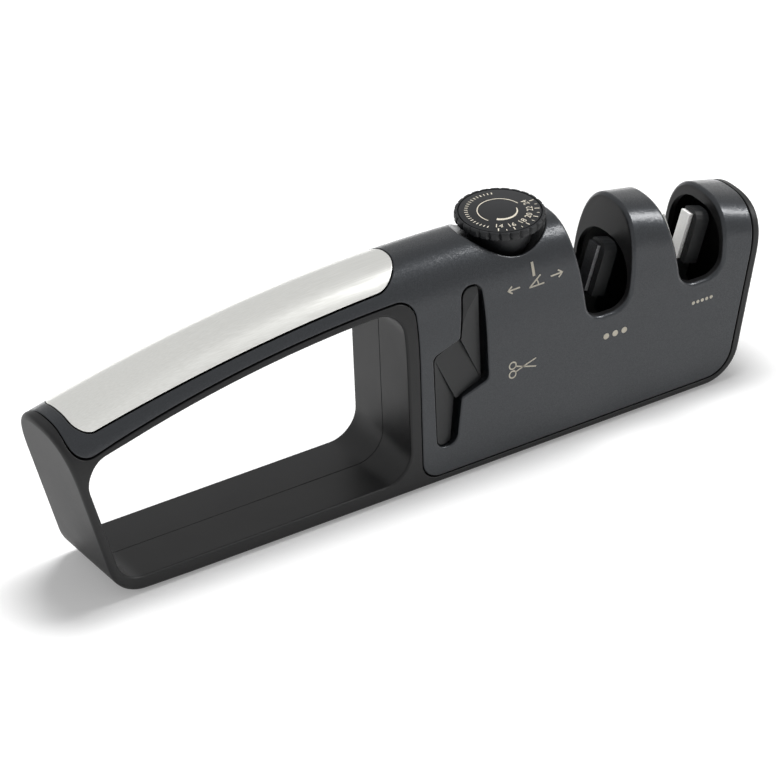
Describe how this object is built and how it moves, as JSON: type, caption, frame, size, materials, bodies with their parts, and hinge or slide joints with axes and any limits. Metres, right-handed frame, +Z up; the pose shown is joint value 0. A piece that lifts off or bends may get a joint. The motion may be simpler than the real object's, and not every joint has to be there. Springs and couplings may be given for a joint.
{
  "type": "knife sharpener",
  "caption": "Hand-held pull-through knife sharpener: long arched body with a window handle, coarse and fine notches, a scissors slot and a dial that sets the sharpening angle.",
  "frame": {"origin": "middle of the object's footprint, on the table", "axes": "+X from the handle to the notches, -Y the printed front, +Z up"},
  "size_m": [0.2412, 0.03, 0.0749],
  "materials": {
    "frame_plastic": "satin moulded black",
    "cover_paint": "gunmetal metallic flake paint on moulded plastic",
    "plate_steel": "brushed along the handle",
    "dial_plastic": "charcoal, fine texture, pale print",
    "inner_plastic": "natural acetal",
    "holder_plastic": "moulded black",
    "diamond_coat": "diamond grit plated on steel",
    "ceramic": "fine fired ceramic",
    "screw_steel": "zinc plated steel",
    "pad_rubber": "matt rubber"
  },
  "bodies": {
    "frame": {"front_frame": "frame_plastic", "rear_frame": "frame_plastic", "top_cover": "cover_paint", "handle_plate": "plate_steel", "shaft_bush": "inner_plastic", "coarse_pivot_pin": "screw_steel", "fine_pivot_pin": "screw_steel", "scissors_guide": "holder_plastic", "scissors_rod_upper": "ceramic", "scissors_rod_lower": "ceramic", "frame_screw_1": "screw_steel", "frame_screw_2": "screw_steel", "frame_screw_3": "screw_steel", "frame_screw_4": "screw_steel", "frame_screw_5": "screw_steel", "base_pad_body": "pad_rubber", "base_pad_tail": "pad_rubber"},
    "shaft": {"dial_shaft": "inner_plastic", "knob_screw": "screw_steel", "dial_spring": "screw_steel"},
    "knob": {"dial_knob": "dial_plastic", "dial_face": "dial_plastic"},
    "slider": {"angle_slider": "inner_plastic"},
    "coarse_left": {"coarse_arm_left": "holder_plastic", "coarse_bar_left": "diamond_coat"},
    "coarse_right": {"coarse_arm_right": "holder_plastic", "coarse_bar_right": "diamond_coat"},
    "fine_left": {"fine_arm_left": "holder_plastic", "fine_bar_left": "ceramic"},
    "fine_right": {"fine_arm_right": "holder_plastic", "fine_bar_right": "ceramic"}
  },
  "joints": [
    {"name": "dial_turn", "type": "hinge", "parent": "frame", "child": "shaft", "pos_m": [0.03575, 0, 0.06], "axis": [0, 0, 1], "range_deg": [-75, 50]},
    {"name": "dial_press", "type": "slide", "parent": "shaft", "child": "knob", "axis": [0, 0, 1], "range_m": [-0.0015, 0], "stiffness_N_per_m": 1500, "springref_m": 0.002, "deforming": ["dial_spring"]},
    {"name": "angle_slide", "type": "slide", "parent": "frame", "child": "slider", "axis": [1, 0, 0], "range_m": [-0.00335, 0.00225]},
    {"name": "coarse_tilt_left", "type": "hinge", "parent": "frame", "child": "coarse_left", "pos_m": [0.06435, 0, 0.031], "axis": [0, 1, 0], "range_deg": [-6.2, 4.2]},
    {"name": "coarse_tilt_right", "type": "hinge", "parent": "frame", "child": "coarse_right", "pos_m": [0.06435, 0, 0.031], "axis": [0, 1, 0], "range_deg": [-4.2, 6.2]},
    {"name": "fine_tilt_left", "type": "hinge", "parent": "frame", "child": "fine_left", "pos_m": [0.09755, 0, 0.031], "axis": [0, 1, 0], "range_deg": [-6.2, 4.2]},
    {"name": "fine_tilt_right", "type": "hinge", "parent": "frame", "child": "fine_right", "pos_m": [0.09755, 0, 0.031], "axis": [0, 1, 0], "range_deg": [-4.2, 6.2]}
  ],
  "couplings": [
    {"joint": "angle_slide", "follows": "dial_turn", "m_per_rad": 0.0025},
    {"joint": "coarse_tilt_left", "follows": "dial_turn", "ratio": 0.08},
    {"joint": "coarse_tilt_right", "follows": "dial_turn", "ratio": -0.08},
    {"joint": "fine_tilt_left", "follows": "dial_turn", "ratio": 0.08},
    {"joint": "fine_tilt_right", "follows": "dial_turn", "ratio": -0.08}
  ]
}
